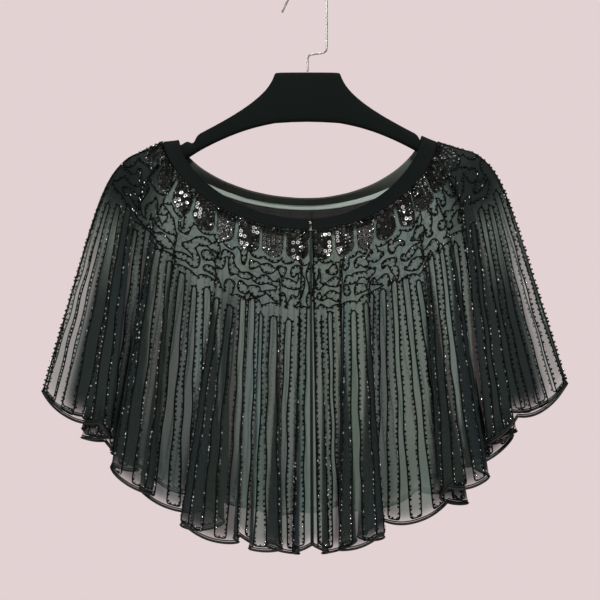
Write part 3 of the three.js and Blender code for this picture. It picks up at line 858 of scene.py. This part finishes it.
class CAPELET_OT_net_panels(bpy.types.Operator):
    """Makes the two fronts and the back of sheer net"""

    bl_idname = "capelet.net_panels"
    bl_label = "Net panels"

    # How each panel was cut, in metres: the rectangle that its flared shape fits, and its flat area.
    cuts = {
        "front_right": ((0.69, 0.41), 0.178),
        "front_left": ((0.65, 0.40), 0.162),
        "back": ((0.96, 0.45), 0.292),
    }

    # How far from the sides the cloth gathers in close folds, in scallops; the gathers are drawn as painted
    # shade and a thicker cover.
    gathers = {"front_right": 2.6, "front_left": 1.7, "back": 1.9}

    # Shade beside deep folds of the fronts: x at the yoke and at the hem, its reach in mm, and its depth.
    shades = (
        (-182, -176, 18, 0.8),
        (-150, -144, 22, 0.6),
        (-88, -90, 14, 0.95),
        (-41, -43, 12, 0.35),
        (79, 82, 20, 0.45),
    )

    # How the net's cover grows from the hem: distances from the edge in mm, and shares of the way to full.
    margin = ((0, 4, 8, 14, 40, 80), (0.0, 0.25, 0.8, 1.15, 1.2, 1.0))

    # Changes across the cloth, as where each ends and its width, in scallops from the side seam: the sheer
    # corner, the painted shade over the arm, the wider margin, and the width of the change where the gathers'
    # painted shade ends.
    corner = (0.6, 0.28)
    over_arm = (3.2, 1.8)
    wide_margin = (2.3, 0.9)
    gathers_fade = 0.5

    # Changes down the cloth, in shares of the way: where the sheer corners and gathers begin, where the
    # painted shade beside deep folds begins, where the painted shade over the arm ends, and where painted
    # shade stops turning near black. A shade's own edge is in mm.
    low = (0.3, 0.3)
    shaded = (0.16, 0.2)
    arm = (0.42, 0.2)
    dark_shade_end = (0.4, 0.2)
    shade_fade = 8

    # Cover lost at a sheer corner and won where shade is painted, how much wider the margin is at the sides,
    # the cover of folds and how far from the edge in mm they have it, the share of painted shade that turns
    # near black, and the cover of the dark ground and of that near-black painted shade.
    thinned, thickened = 0.7, 0.2
    wider = 1.1
    in_folds, folds_margin = 0.9, 9
    grounded, ground_cover = 0.85, 0.97

    # The share of the way down at each row of the net's mesh: finer where the tongues end.
    shares = np.concatenate([np.linspace(0, 0.12, 19), np.linspace(0.12, 1, 60)[1:]])

    # Places close to a side where the net turns over, in scallops, and a scallop's width on the cloth in m.
    turn = np.array([0.0006, 0.002, 0.005, 0.01, 0.018])
    scallop_width = 0.083

    def columns(self, panel):
        """Places across a panel, closer where it turns over at the sides, and short of the front opening."""
        even = np.linspace(0, panel.scallops, panel.scallops * PER_SCALLOP["net"] + 1)
        along = np.unique(np.concatenate([even, self.turn, panel.scallops - self.turn]))
        start = OPENING_EDGE if panel.name == "front_left" else 0
        end = panel.scallops - (OPENING_EDGE if panel.name == "front_right" else 0)
        return np.concatenate([[start], along[(along > start) & (along < end)], [end]])

    def from_side(self, panel, along):
        """How many scallops lie between each place and the nearest side seam."""
        ahead = panel.scallops - along
        nearest = {"front_right": along, "front_left": ahead, "back": np.minimum(along, ahead)}
        return nearest[panel.name][:, None]

    def shade(self, panel, x):
        """How deep in shade each place lies, from 0 to 1."""
        deepest = np.zeros_like(x)
        if panel.side.front > 0:
            for at_yoke, at_hem, reach, depth in self.shades:
                off = np.abs(x - at_yoke - (at_hem - at_yoke) * self.shares)
                deepest = np.maximum(deepest, depth * falling(off, reach, self.shade_fade))
        return deepest * rising(self.shares, *self.shaded)

    def covers(self, panel, along, down, x, fold):
        """At each place, how much light the net stops, how far painted shade gives it the darker folded
        colour, and how far it is near black: the dark ground, and the deepest painted shade.
        """
        share, from_side = self.shares, self.from_side(panel, along)
        low, corner = rising(share, *self.low), falling(from_side, *self.corner)
        gathered = falling(from_side, self.gathers[panel.name], self.gathers_fade) * (1 - corner) * low
        # Painted shade: the net is darkened over the arm and in the gathers near the sides, and its cover is
        # thickened there.
        dark = np.maximum(falling(from_side, *self.over_arm) * falling(share, *self.arm), gathered)
        beside = 1 - self.thinned * corner * low + self.thickened * dark
        # Painted shade beside the deep folds of the fronts.
        dark = np.maximum(dark, self.shade(panel, x))
        # Where the painted shade is deepest near the top, the net turns near black, as on the dark ground
        # under the tongues.
        ground = self.grounded * dark * falling(share, *self.dark_shade_end)
        ground = np.maximum(tongue_ground(panel, along, down), ground)
        # The darker folded colour, a painted shade, goes where layers lie in folds and wherever shade is
        # painted.
        folded = np.maximum(fold, dark)
        clear = 1 + self.wider * falling(from_side, *self.wide_margin)
        from_edge = (down[:, -1:] - down) * CLOTH["length"] / clear
        dense = np.interp(from_edge, *self.margin) * beside
        dense = np.maximum(dense, self.in_folds * folded * smooth(from_edge / self.folds_margin))
        cover = sizes().sheer_margin + (sizes().sheer_body - sizes().sheer_margin) * dense
        return {"cover": cover + (self.ground_cover - cover) * ground, "folded": folded, "ground": ground}

    def execute(self, context):
        for panel in PANELS:
            along = self.columns(panel)
            columns, rows = len(along), len(self.shares)
            down = self.shares[None, :] * hem_share(along)[:, None]
            points, _, _, fold = panel.at(np.repeat(along[:, None], rows, 1), down)
            faces = grid_faces(columns, rows, outward=panel.side.front > 0)
            across = np.repeat(along[:, None] * self.scallop_width, rows, 1)
            uv = np.stack([across, -down * CLOTH["length"] * MM], -1).reshape(-1, 2)
            obj = new_mesh_object("net_" + panel.name, points.reshape(-1, 3), [faces], net_finish(), uv)
            for name, values in self.covers(panel, along, down, points[..., 0], fold).items():
                point_attribute(obj, name, values.ravel())
            put(obj)
            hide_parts(panel.name)
        return {"FINISHED"}


class CAPELET_OT_bead_lines(bpy.types.Operator):
    """Sews the bead rows and the scribbled bead lines on each panel"""

    bl_idname = "capelet.bead_lines"
    bl_label = "Bead rows and scribble"

    # Where single lines run down beside each panel's edges, in scallops across.
    side_lines = {"front_right": (0.05, 8.72), "front_left": (0.08, 8.95), "back": (0.05, 15.95)}

    # Stitches from one bead to the next, how far beads lie off the thread and above the net in mm, how uneven
    # their sizes are, the chance that one gets a painted glint, a bright mirror tone, and how much more that
    # is in folds.
    stitches = 3
    off_thread = (0.45, 0.9)
    above = 0.5
    uneven = (0.8, 1.12)
    flash, more_in_folds = 0.06, 0.44

    def execute(self, context):
        bead = bead_shape()
        pitch, radius = sizes().bead_pitch / MM, sizes().bead_size / MM / 2
        thread = sizes().thread_radius / MM
        lift = CLOTH["wall"] / 2
        for number, panel in enumerate(PANELS):
            rng = np.random.default_rng(BEAD_SEED + number)
            lines = [serpentine(panel, rng), scribble(panel, rng)]
            lines += [side_path(along) for along in self.side_lines[panel.name]]
            threads, beads = Pile(), Pile()
            for line in lines:
                traced = panel.trace(line, pitch / self.stitches)
                points, normals, directions, _ = traced
                threads.add_tube(points + lift * normals, normals, directions, thread)
                count = len(points) // self.stitches
                sewn = self.stitches * np.arange(count) + rng.integers(0, 2, count)
                points, normals, directions, fold = (values[sewn] for values in traced)
                beside = unit(np.cross(directions, normals))
                off = thread + rng.uniform(*self.off_thread, (count, 1))
                places = points + (lift + self.above) * normals - off * beside
                size = radius * rng.uniform(*self.uneven, count)
                # Painted glints: some beads get a bright mirror tone, more of them where the cloth lies in
                # folds.
                tone = painted_glint_tones(rng, self.flash + self.more_in_folds * fold)
                beads.add_copies(bead, places, directions, beside, normals, size, tone)
            put(threads.make("stitches_" + panel.name, thread_finish()))
            put(beads.make("beads_" + panel.name, bead_finish()))
        return {"FINISHED"}


class CAPELET_OT_edge_cord(bpy.types.Operator):
    """Binds the scalloped hem and the front edges with a satin cord"""

    bl_idname = "capelet.edge_cord"
    bl_label = "Edge cord"

    # How far inside the edge a thinner line runs in mm, the shares of the cord's thickness that it and the
    # cord at the opening have, and the pitch of the cords' places in mm.
    inner_line = 2.6
    inner_share, opening_share = 0.5, 0.7
    pitch = 2.2

    def execute(self, context):
        cord = sizes().edge_radius / MM
        for panel in PANELS:
            pile = Pile()
            inner = edge_path(panel, self.inner_line)
            lines = [(edge_path(panel), cord), (inner, self.inner_share * cord)]
            openings = {"front_right": panel.scallops - OPENING_EDGE, "front_left": OPENING_EDGE}
            if panel.name in openings:
                lines.append((side_path(openings[panel.name]), self.opening_share * cord))
            for line, radius in lines:
                points, normals, directions, _ = panel.trace(line, self.pitch)
                pile.add_tube(points, normals, directions, radius)
            put(pile.make("edge_cord_" + panel.name, satin_finish()))
        return {"FINISHED"}


class CAPELET_OT_sequin_tongues(bpy.types.Operator):
    """Sews tongues of sequins side by side under the band, each outlined with beads"""

    bl_idname = "capelet.sequin_tongues"
    bl_label = "Sequin tongues"

    # Where a tongue shines: mm across, mm down, and the spot's reach in mm.
    spots = {
        "L": ((-8, 10, 4), (-7, 17, 3.5), (-5, 25, 5)),
        "R": ((7, 8, 4), (8, 15, 4), (7, 24, 5)),
        "M": ((-2, 14, 4.5), (-4, 27, 6), (5, 19, 3)),
        "B": ((6, 8, 4.5), (-6, 17, 4), (-4, 28, 5)),
    }

    # How many rows of sequins a tongue has, then in mm the first one's inset, the step to the next, the pitch
    # in a row, where rows start under the band, and the half width below which one runs down the middle.
    rows, first_row, row_gap = 3, 2.5, 4.3
    pitch, top, narrowest = 4.2, 1.5, 1.5

    # How far tongues are shifted and lengthened in mm, how sequins lean and roll in degrees, as a mean and a
    # deviation, and how high they are sewn in mm.
    shifted, lengthened = (-0.5, 0.5), (-1.2, 0.6)
    lean, roll = (12, 5), (0, 6)
    sequin_lift = 1.5

    # Tones of dark, grey and shining sequins, the tone and chance of a glint, the share of a spot's sequins
    # that shine, and where grey begins below the band in mm and over how much.
    dark, grey, shining = (0.0, 0.02), (0.06, 0.14), (0.35, 1.0)
    glint, glinting, lit = 0.07, 0.12, 0.8
    grey_below = (5, 9)

    # The beads round the tongues and under the band: pitches and height in mm, sizes, and chance of a painted
    # glint, a bright mirror tone, then how far from the panel's edges the row under the band ends in scallops,
    # and the steps of its path.
    outline_pitch, band_pitch, bead_lift = 2.2, 2.4, 1.1
    outline_bead, uneven, band_bead = 0.95, (0.85, 1.1), 0.9
    flashing = 0.1
    row_end, row_steps = 0.02, 200

    def tongue_row(self, half, length, pitch):
        """Places along a U of a half width, or down the middle without room for one: across, down."""
        if half < self.narrowest:
            down = np.arange(self.top, length - half, pitch)
            return np.zeros(len(down)), down
        straight = length - half - self.top
        total = 2 * straight + math.pi * half
        places = np.linspace(0, total, max(3, int(round(total / pitch))))
        turn = np.clip((places - straight) / half, 0, math.pi)
        down = np.where(places < straight, self.top + places, self.top + straight)
        down = np.where(places > total - straight, self.top + total - places, down)
        return -half * np.cos(turn), down + half * np.sin(turn)

    def places(self, panel, middle, across, down):
        return panel.at(panel.below_neck(middle + across), down / CLOTH["length"])[:3]

    def sew_row(self, pile, sequin, places, tone, rng):
        """One U of sequins, each leaning on the next."""
        points, normals, _ = places
        path = unit(np.gradient(points, axis=0))
        lean, roll = (np.radians(rng.normal(*turn, len(points)))[:, None] for turn in (self.lean, self.roll))
        beside = unit(np.cross(normals, path))
        facing = unit(normals * np.cos(lean) + path * np.sin(lean) + beside * np.sin(roll))
        first = unit(np.cross(beside, facing))
        second = np.cross(facing, first)
        radius = sizes().sequin_radius / MM
        pile.add_copies(sequin, points + self.sequin_lift * normals, first, second, facing, radius, tone)

    def sew_beads(self, pile, bead, points, axes, size, rng):
        """Beads just above the net, a few of which get a painted glint."""
        tone = painted_glint_tones(rng, np.full(len(points), self.flashing))
        pile.add_copies(bead, points + self.bead_lift * axes[2], *axes, size, tone)

    def row_tone(self, kind, across, down, rng):
        count = len(across)
        tone = np.where(rng.random(count) < self.glinting, self.glint, rng.uniform(*self.dark, count))
        if kind == "G":
            tone = rng.uniform(*self.grey, count) * rising(down, *self.grey_below)
        for x, y, reach in self.spots.get(kind, ()):
            lit = (np.hypot(across - x, down - y) < reach) & (rng.random(count) < self.lit)
            tone = np.where(lit, rng.uniform(*self.shining, count), tone)
        return tone

    def execute(self, context):
        bead, sequin = bead_shape(), sequin_shape()
        for number, panel in enumerate(PANELS):
            rng = np.random.default_rng(TONGUE_SEED + number)
            sequins, beads = Pile(), Pile()
            step, half = tongue_width(panel)
            for k, kind in enumerate(TONGUES[panel.name]):
                middle = (k + 0.5) * step + rng.uniform(*self.shifted)
                length = TONGUE_LENGTH + rng.uniform(*self.lengthened)
                outline = self.tongue_row(half, length, self.outline_pitch)
                points, normals, across = self.places(panel, middle, *outline)
                axes = (across, np.cross(across, normals), normals)
                size = self.outline_bead * rng.uniform(*self.uneven, len(points))
                self.sew_beads(beads, bead, points, axes, size, rng)
                for row in range(self.rows):
                    inset = self.first_row + row * self.row_gap
                    line = self.tongue_row(half - inset, length - inset, self.pitch)
                    tone = self.row_tone(kind, *line, rng)
                    self.sew_row(sequins, sequin, self.places(panel, middle, *line), tone, rng)
            along = np.linspace(self.row_end, panel.scallops - self.row_end, self.row_steps)
            line = np.stack([along, np.full_like(along, EMBROIDERY_TOP)], -1)
            points, normals, across, _ = panel.trace(line, self.band_pitch)
            axes = (across, unit(np.cross(across, normals)), normals)
            self.sew_beads(beads, bead, points, axes, self.band_bead, rng)
            put(sequins.make("sequins_" + panel.name, sequin_finish()))
            put(beads.make("tongue_beads_" + panel.name, bead_finish()))
        return {"FINISHED"}


class CAPELET_OT_neckband(bpy.types.Operator):
    """Makes the plain neckband and the pale stay tape inside the back"""

    bl_idname = "capelet.neckband"
    bl_label = "Neckband and tape"

    # The band's section: the share of its height, and how far out of its middle in mm.
    section = [
        (-0.005, 0.0),
        (0.0, 0.55),
        (0.06, 0.8),
        (0.3, 0.72),
        (0.62, 0.7),
        (0.86, 0.8),
        (0.95, 0.95),
        (1.0, 0.7),
        (1.02, 0.0),
        (1.0, -0.6),
        (0.93, -0.8),
        (0.6, -0.7),
        (0.06, -0.75),
        (0.0, -0.5),
    ]

    # Ripples along the band: height in mm at its top, the turn from one place to the next, and its start.
    ripples = ((0.072, 0.41, 0), (0.06, 0.173, 1))

    # The neck's length on the front side in mm, and places along a front's part of the band.
    front_neck = 424
    front_places = 90

    # Places along the tape and across it, and the share of its wall that it keeps where it is pressed flat.
    tape_places, tape_rows = 161, 5
    pressed = 0.8

    def band_rings(self):
        """Rings of points round the band, from one side of the opening to the other."""
        front_at, back_at = neck_angles(1), neck_angles(-1)
        trim = OPENING["gap"] / self.front_neck
        runs = [
            (front_at(np.linspace(OPENING["neck"] + trim, 1, self.front_places)), 1),
            (back_at(np.linspace(1, 0, 2 * self.front_places))[1:-1], -1),
            (front_at(np.linspace(0, OPENING["neck"] - trim, self.front_places)), 1),
        ]
        seams = np.concatenate([ring_points(NECK, NECK_DEPTH, angle, front) for angle, front in runs])
        tops = np.concatenate([ring_points(BAND, BAND_DEPTH, angle, front) for angle, front in runs])
        rise = tops - seams
        outward = unit(np.cross(unit(np.gradient(seams, axis=0)), rise))
        foot = seams + unit(rise) * (SEAM_GAP + CLOTH["wall"] / 2)
        place = np.arange(len(seams))
        ripple = sum(height * np.sin(place * turn + start) for height, turn, start in self.ripples)
        rings = [
            foot + share * (tops - foot) + (out + (ripple * share)[:, None]) * outward
            for share, out in self.section
        ]
        return np.stack(rings, 1)

    def tape_rings(self):
        """Rings of points round the stay tape, on the inside of the back."""
        share = np.linspace(TAPE["start"], TAPE["end"], self.tape_places)
        below = np.linspace(0, 1, self.tape_rows) * TAPE["width"] + TAPE["below"]
        grid, normals, _, _ = BACK.at(*np.meshgrid(share, below / CLOTH["length"], indexing="ij"))
        inside = CLOTH["wall"] / 2 + SEAM_GAP
        outer = grid - inside * normals
        inner = grid - (inside + TAPE["wall"] * self.pressed) * normals
        return np.concatenate([outer, inner[:, ::-1]], 1)

    def sew_strip(self, name, rings, cloth, slot, node):
        """A closed strip through rings of points, in the place of a node."""
        count, sides = rings.shape[:2]
        obj = new_mesh_object(name, rings.reshape(-1, 3), sleeve_faces(count, sides), cloth)
        deselect_all()
        edit_whole(obj)
        bpy.ops.mesh.normals_make_consistent(inside=False)
        bpy.ops.object.mode_set(mode="OBJECT")
        obj.select_set(False)
        put(obj)
        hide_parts(node)
        return obj

    def execute(self, context):
        rings = self.band_rings()
        cloth = band_finish("bias_band", colours().band, 0.72)
        band = self.sew_strip("band_cloth", rings, cloth, "band", "neck_band")
        # The band's inside face takes the paler colour, partly lining and partly painted light.
        inward = np.array([out < 0 for _, out in self.section], float)
        point_attribute(band, "inside_face", np.tile(inward, len(rings)))
        cloth = band_finish("stay_tape", colours().tape, 0.8)
        tape = self.sew_strip("tape_cloth", self.tape_rings(), cloth, "tape", "neck_tape")
        return {"FINISHED"}


class CAPELET_OT_hanger(bpy.types.Operator):
    """Rounds the hanger's moulded body and its wire hook, and plates the closure"""

    bl_idname = "capelet.hanger"
    bl_label = "Hanger and hook"

    # How close points are merged in metres, and how unlike two triangles of one flat face may be in radians.
    merged = 1e-6
    unlike = math.radians(60)

    def rounded(self, node, name, material, sharp):
        """A merged and subdivided copy of a node, in its place, with edges kept past a sharp angle."""
        deselect_all()
        obj = bpy.data.objects.new(name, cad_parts[node].data.copy())
        bpy.context.scene.collection.objects.link(obj)
        edit_whole(obj)
        bpy.ops.mesh.remove_doubles(threshold=self.merged)
        bpy.ops.mesh.tris_convert_to_quads(face_threshold=self.unlike, shape_threshold=self.unlike)
        bpy.ops.object.mode_set(mode="OBJECT")
        modifier = obj.modifiers.new("rounding", "SUBSURF")
        modifier.levels = modifier.render_levels = 1
        bpy.ops.object.modifier_apply(modifier=modifier.name)
        bpy.ops.object.shade_smooth_by_angle(angle=math.radians(sharp))
        obj.select_set(False)
        obj.data.materials.clear()
        obj.data.materials.append(material)
        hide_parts(node)
        return obj

    def execute(self, context):
        wire = wire_finish()
        put(self.rounded("hanger", "hanger_body", flock_finish(), 50))
        put(self.rounded("hanger_hook", "hook_wire", wire, 60))
        for node in ("closure_hook", "closure_eye"):
            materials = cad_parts[node].data.materials
            materials.clear()
            materials.append(wire)
        return {"FINISHED"}


class CAPELET_OT_stage(bpy.types.Operator):
    """Sets the camera, the lights, the pale surroundings and the floor"""

    bl_idname = "capelet.stage"
    bl_label = "Stage"

    # Area lights: place, what they aim at, width in metres, watts, colour.
    lights = {
        "key": ((0.5, -2.2, 0.9), (0.0, 0.0, -0.4), 0.4, 75.0, (1.0, 0.98, 0.96)),
        "fill": ((-1.7, -1.9, 0.1), (0.0, 0.0, -0.4), 1.4, 26.0, (0.95, 0.98, 1.0)),
        "top": ((0.2, 0.2, 1.5), (0.0, 0.0, -0.4), 1.2, 26.0, (1.0, 1.0, 1.0)),
        "back": ((-0.6, 2.2, 0.3), (0.0, 0.0, -0.4), 1.4, 34.0, (1.0, 0.99, 0.98)),
    }
    camera_place = (-0.0086, -1.93, -0.3617)
    view_width = 0.690
    far_end = 50.0
    floor_radius, floor_level = 3.0, -1.65

    # How brightly the surroundings show, how much they light the part, and how dim they are in reflections.
    seen, lit, dim = 1.0, 0.12, 0.03

    def set_camera(self, scene):
        camera = bpy.data.cameras.new("camera")
        camera.lens = camera.sensor_width * -self.camera_place[1] / self.view_width
        camera.clip_end = self.far_end
        holder = bpy.data.objects.new("camera", camera)
        holder.location = self.camera_place
        holder.rotation_euler = (math.radians(90), 0, 0)
        scene.collection.objects.link(holder)
        scene.camera = holder

    def set_lights(self, scene):
        for name, (place, aim, width, watts, colour) in self.lights.items():
            light = bpy.data.lights.new(name, "AREA")
            light.shape = "DISK"
            light.size = width
            light.energy = watts
            light.color = colour
            lamp = bpy.data.objects.new(name, light)
            lamp.location = place
            lamp.rotation_euler = (Vector(aim) - Vector(place)).to_track_quat("-Z", "Y").to_euler()
            scene.collection.objects.link(lamp)

    def set_surroundings(self, scene):
        """A pale world that lights the part less than it shows."""
        world = bpy.data.worlds.new("pale_room")
        scene.world = world
        world.use_nodes = True
        tree = world.node_tree
        tree.nodes.clear()
        backgrounds = []
        for strength in (self.lit, self.dim, self.seen):
            background = tree.nodes.new("ShaderNodeBackground")
            background.inputs["Color"].default_value = (*colours().backdrop, 1)
            background.inputs["Strength"].default_value = strength
            backgrounds.append(background.outputs[0])
        path = tree.nodes.new("ShaderNodeLightPath")
        shown = backgrounds[0]
        for ray, other in zip(("Is Glossy Ray", "Is Camera Ray"), backgrounds[1:]):
            mix = tree.nodes.new("ShaderNodeMixShader")
            for number, output in enumerate((path.outputs[ray], shown, other)):
                tree.links.new(output, mix.inputs[number])
            shown = mix.outputs[0]
        tree.links.new(shown, tree.nodes.new("ShaderNodeOutputWorld").inputs[0])

    def lay_floor(self):
        deselect_all()
        place = (0, 0, self.floor_level)
        bpy.ops.mesh.primitive_circle_add(
            vertices=96, radius=self.floor_radius, fill_type="NGON", location=place
        )
        floor = bpy.context.object
        bpy.ops.object.transform_apply(location=True)
        floor.name = "floor"
        floor.data.materials.append(floor_finish())
        floor.select_set(False)

    def execute(self, context):
        scene = context.scene
        self.set_camera(scene)
        self.set_lights(scene)
        self.set_surroundings(scene)
        self.lay_floor()
        scene.view_settings.view_transform = "Standard"
        scene.cycles.transparent_max_bounces = TRANSPARENT_LAYERS
        return {"FINISHED"}


class CAPELET_PT_pieces(bpy.types.Panel):
    """Lists the capelet's pieces and what can be changed about them."""

    bl_label = "Capelet"
    bl_idname = "CAPELET_PT_pieces"
    bl_space_type = "VIEW_3D"
    bl_region_type = "UI"
    bl_category = "Capelet"

    def draw(self, context):
        layout = self.layout
        for group in (context.scene.capelet_sizes, context.scene.capelet_colours):
            box = layout.box()
            for name in group.__annotations__:
                box.prop(group, name)
        for operator in OPERATORS:
            layout.operator(operator.bl_idname)


OPERATORS = (
    CAPELET_OT_net_panels,
    CAPELET_OT_bead_lines,
    CAPELET_OT_edge_cord,
    CAPELET_OT_sequin_tongues,
    CAPELET_OT_neckband,
    CAPELET_OT_hanger,
    CAPELET_OT_stage,
)
CLASSES = (CapeletSizes, CapeletColours, *OPERATORS, CAPELET_PT_pieces)


def register():
    for part in CLASSES:
        bpy.utils.register_class(part)
    bpy.types.Scene.capelet_sizes = bpy.props.PointerProperty(type=CapeletSizes)
    bpy.types.Scene.capelet_colours = bpy.props.PointerProperty(type=CapeletColours)


def unregister():
    del bpy.types.Scene.capelet_colours
    del bpy.types.Scene.capelet_sizes
    for part in reversed(CLASSES):
        bpy.utils.unregister_class(part)


def main():
    register()
    deselect_all()
    bpy.ops.capelet.net_panels()
    bpy.ops.capelet.bead_lines()
    bpy.ops.capelet.edge_cord()
    bpy.ops.capelet.sequin_tongues()
    bpy.ops.capelet.neckband()
    bpy.ops.capelet.hanger()
    bpy.ops.capelet.stage()


if __name__ == "__main__":
    main()
